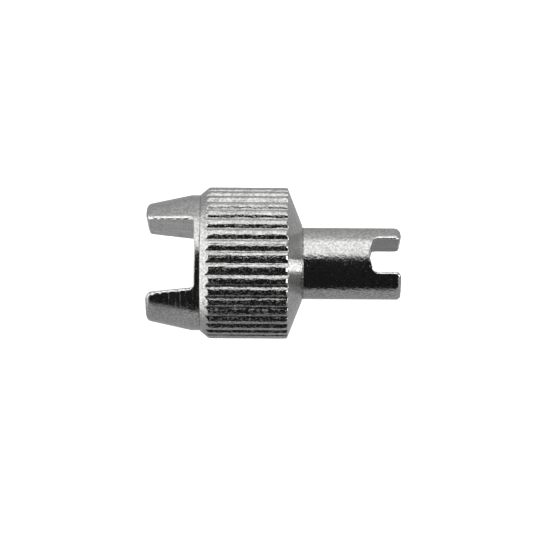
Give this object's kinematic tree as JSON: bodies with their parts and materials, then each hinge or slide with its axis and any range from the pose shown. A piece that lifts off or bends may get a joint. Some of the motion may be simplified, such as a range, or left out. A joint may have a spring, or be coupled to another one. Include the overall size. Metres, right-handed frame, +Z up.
{
  "type": "two-ended slotted key",
  "caption": "Small plated hand key with a tapered two-prong fork at one end, a straight-knurled finger grip in the middle and a round slotted nose at the other end.",
  "frame": {"origin": "on the tool's axis, halfway between the fork's tips and the nose's end", "axes": "+X along the tool from the fork to the slotted nose, +Y across the fork's slot, +Z up with the tool lying on its knurl"},
  "size_m": [0.0168, 0.01, 0.01],
  "materials": {
    "fork_plating": "bright nickel plate over fine turning marks, slot faces milled flat",
    "grip_plating": "bright nickel plate over a rolled straight knurl with rough groove flanks",
    "nose_plating": "bright nickel plate, smooth turned rod with a fine grain"
  },
  "bodies": {
    "root": {"fork_tip": "fork_plating", "knurled_grip": "grip_plating", "slotted_nose": "nose_plating"}
  },
  "joints": []
}
